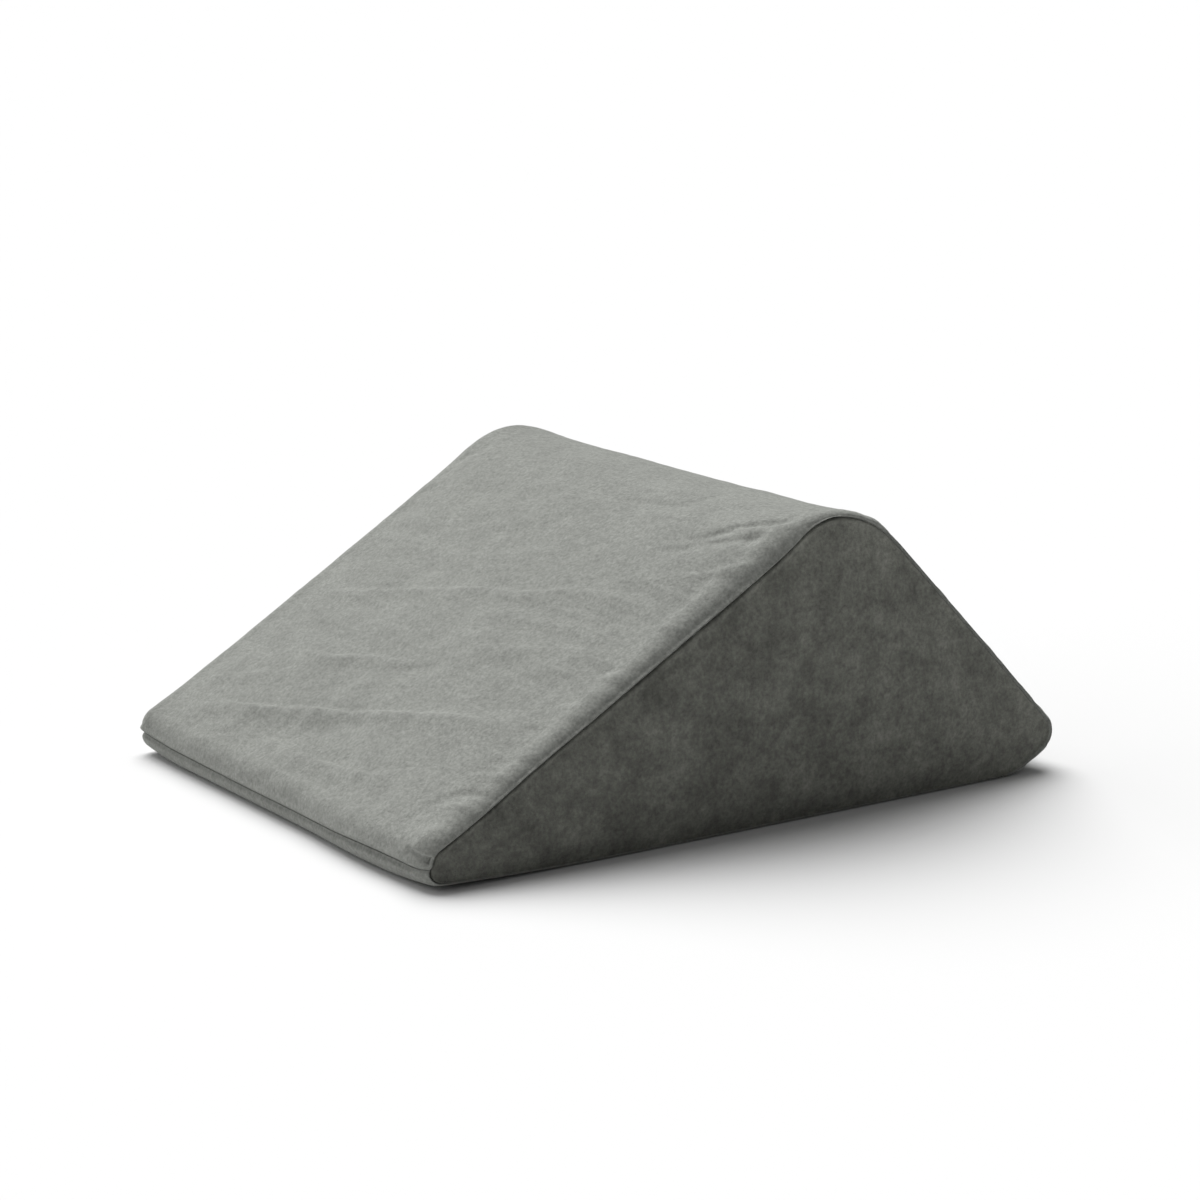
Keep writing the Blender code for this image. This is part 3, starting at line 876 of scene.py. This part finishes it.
def build_base():
    """The underside sheet, turned up at the front as a lip."""
    lip = lip_station(PLACES)[:, None]
    ones = np.ones((len(PLACES), 1))
    flat_part = np.linspace(0, TOE_START, BASE_FLAT_ROWS, endpoint=False)[None, :] * ones
    lip_part = TOE_START + np.linspace(0, 1, BASE_LIP_ROWS)[None, :] * (lip - TOE_START)
    stations = np.hstack([flat_part, lip_part])
    fold = LIP_FOLD * np.exp(-((lip - stations - LIP_FOLD_BELOW) / FOLD_WIDTH) ** 2)
    fold = fold * np.exp(-((PLACES[:, None] - LIP_FOLD_PLACE) / LIP_FOLD_SPREAD) ** 2)
    turn = LIP_TURN * np.exp(-((lip - stations) / LIP_TURN_WIDTH) ** 2)
    outer = shape_front(surface(PLACES[:, None], ANGLES[:, None], stations, turn - fold))
    inner = shape_front(surface(PLACES[:, None], ANGLES[:, None], stations, BASE_CLOTH))
    rows = np.concatenate([outer, inner[:, ::-1]], 1)
    rings, count = rows.shape[:2]
    faces = [grid_quads(rings, count, closed=True)]
    half = count // 2
    for row in (0, rings - 1):
        index = np.arange(count) + row * count
        back = index[::-1]
        faces.append(np.stack([index[:half - 1], index[1:half], back[1:half], back[:half - 1]], -1))
    obj = add_mesh("cover_base", rows.reshape(-1, 3), faces, BASE_CLOTH_LOOK)
    outward_facing(obj)
    return obj


wrap = build_wrap()
side_right = build_side("cover_side_right", 1)
side_left = build_side("cover_side_left", -1)
base = build_base()

for piece, node, slot in (
    (wrap, "pillow_body", "wrap_cloth"),
    (side_right, "side_panel_right", "side_cloth"),
    (side_left, "side_panel_left", "side_cloth"),
    (base, "base_panel", "base_cloth"),
):
    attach(piece, BODY)
    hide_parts(node)


# Studio

FRAME_PIXELS = 1200
FOCAL_PIXELS = 3449.4
SENSOR = 36.0
VIEW_AZIMUTH = math.radians(56.91)
VIEW_ELEVATION = math.radians(13.05)
VIEW_ROLL = math.radians(-0.56)
VIEW_DISTANCE = 2.388
VIEW_RIGHT = -0.0051
VIEW_UP = -0.1105
FLOOR_HALF = 30.0
FLOOR_LEVEL = -0.0004


def add_camera():
    """The camera at the photograph's viewing angle."""
    data = bpy.data.cameras.new("camera")
    data.sensor_width = SENSOR
    data.lens = FOCAL_PIXELS * SENSOR / FRAME_PIXELS
    data.clip_start = 0.01
    data.clip_end = 100
    camera = bpy.data.objects.new("camera", data)
    bpy.context.scene.collection.objects.link(camera)
    a, e, r = VIEW_AZIMUTH, VIEW_ELEVATION, VIEW_ROLL
    back = Vector((math.sin(a) * math.cos(e), -math.cos(a) * math.cos(e), math.sin(e)))
    level_right = Vector((math.cos(a), math.sin(a), 0))
    level_up = back.cross(level_right)
    right = level_right * math.cos(r) + level_up * math.sin(r)
    up = level_up * math.cos(r) - level_right * math.sin(r)
    turn = Matrix((right, up, back)).transposed().to_4x4()
    place = back * VIEW_DISTANCE - right * VIEW_RIGHT - up * VIEW_UP
    camera.matrix_world = Matrix.Translation(place) @ turn
    bpy.context.scene.camera = camera


def add_floor():
    """A plain pale floor."""
    mesh = bpy.data.meshes.new("floor")
    corners = [(x * FLOOR_HALF, y * FLOOR_HALF, 0) for x, y in ((-1, -1), (1, -1), (1, 1), (-1, 1))]
    mesh.from_pydata(corners, [], [(0, 1, 2, 3)])
    floor = bpy.data.objects.new("floor", mesh)
    bpy.context.scene.collection.objects.link(floor)
    floor.location.z = FLOOR_LEVEL
    material = bpy.data.materials.new("floor_paper")
    material.use_nodes = True
    shader = material.node_tree.nodes["Principled BSDF"]
    shader.inputs["Base Color"].default_value = (0.69, 0.69, 0.69, 1)
    shader.inputs["Roughness"].default_value = 1.0
    shader.inputs["Specular IOR Level"].default_value = 0.0
    mesh.materials.append(material)
    floor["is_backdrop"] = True


def add_sun(name, towards, strength, spread):
    """A soft light from far away; towards points from the object to the light."""
    data = bpy.data.lights.new(name, "SUN")
    data.energy = strength
    data.angle = math.radians(spread)
    light = bpy.data.objects.new(name, data)
    bpy.context.scene.collection.objects.link(light)
    light.rotation_euler = Vector(towards).to_track_quat("Z", "Y").to_euler()


def add_world(strength):
    """A plain pale room."""
    world = bpy.data.worlds.new("studio")
    world.use_nodes = True
    background = world.node_tree.nodes["Background"]
    background.inputs["Color"].default_value = (1, 1, 1, 1)
    background.inputs["Strength"].default_value = strength
    bpy.context.scene.world = world


add_camera()
add_floor()
add_world(0.18)
add_sun("key", (-0.50, 0.14, 0.85), 4.25, 56)
add_sun("front", (-0.54, -0.76, 0.36), 1.0, 60)
bpy.context.scene.view_settings.view_transform = "Standard"

boxes = {"cad": CAD_BOX, "visual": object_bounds()}
{name: [list(corner) for corner in box] for name, box in boxes.items()}
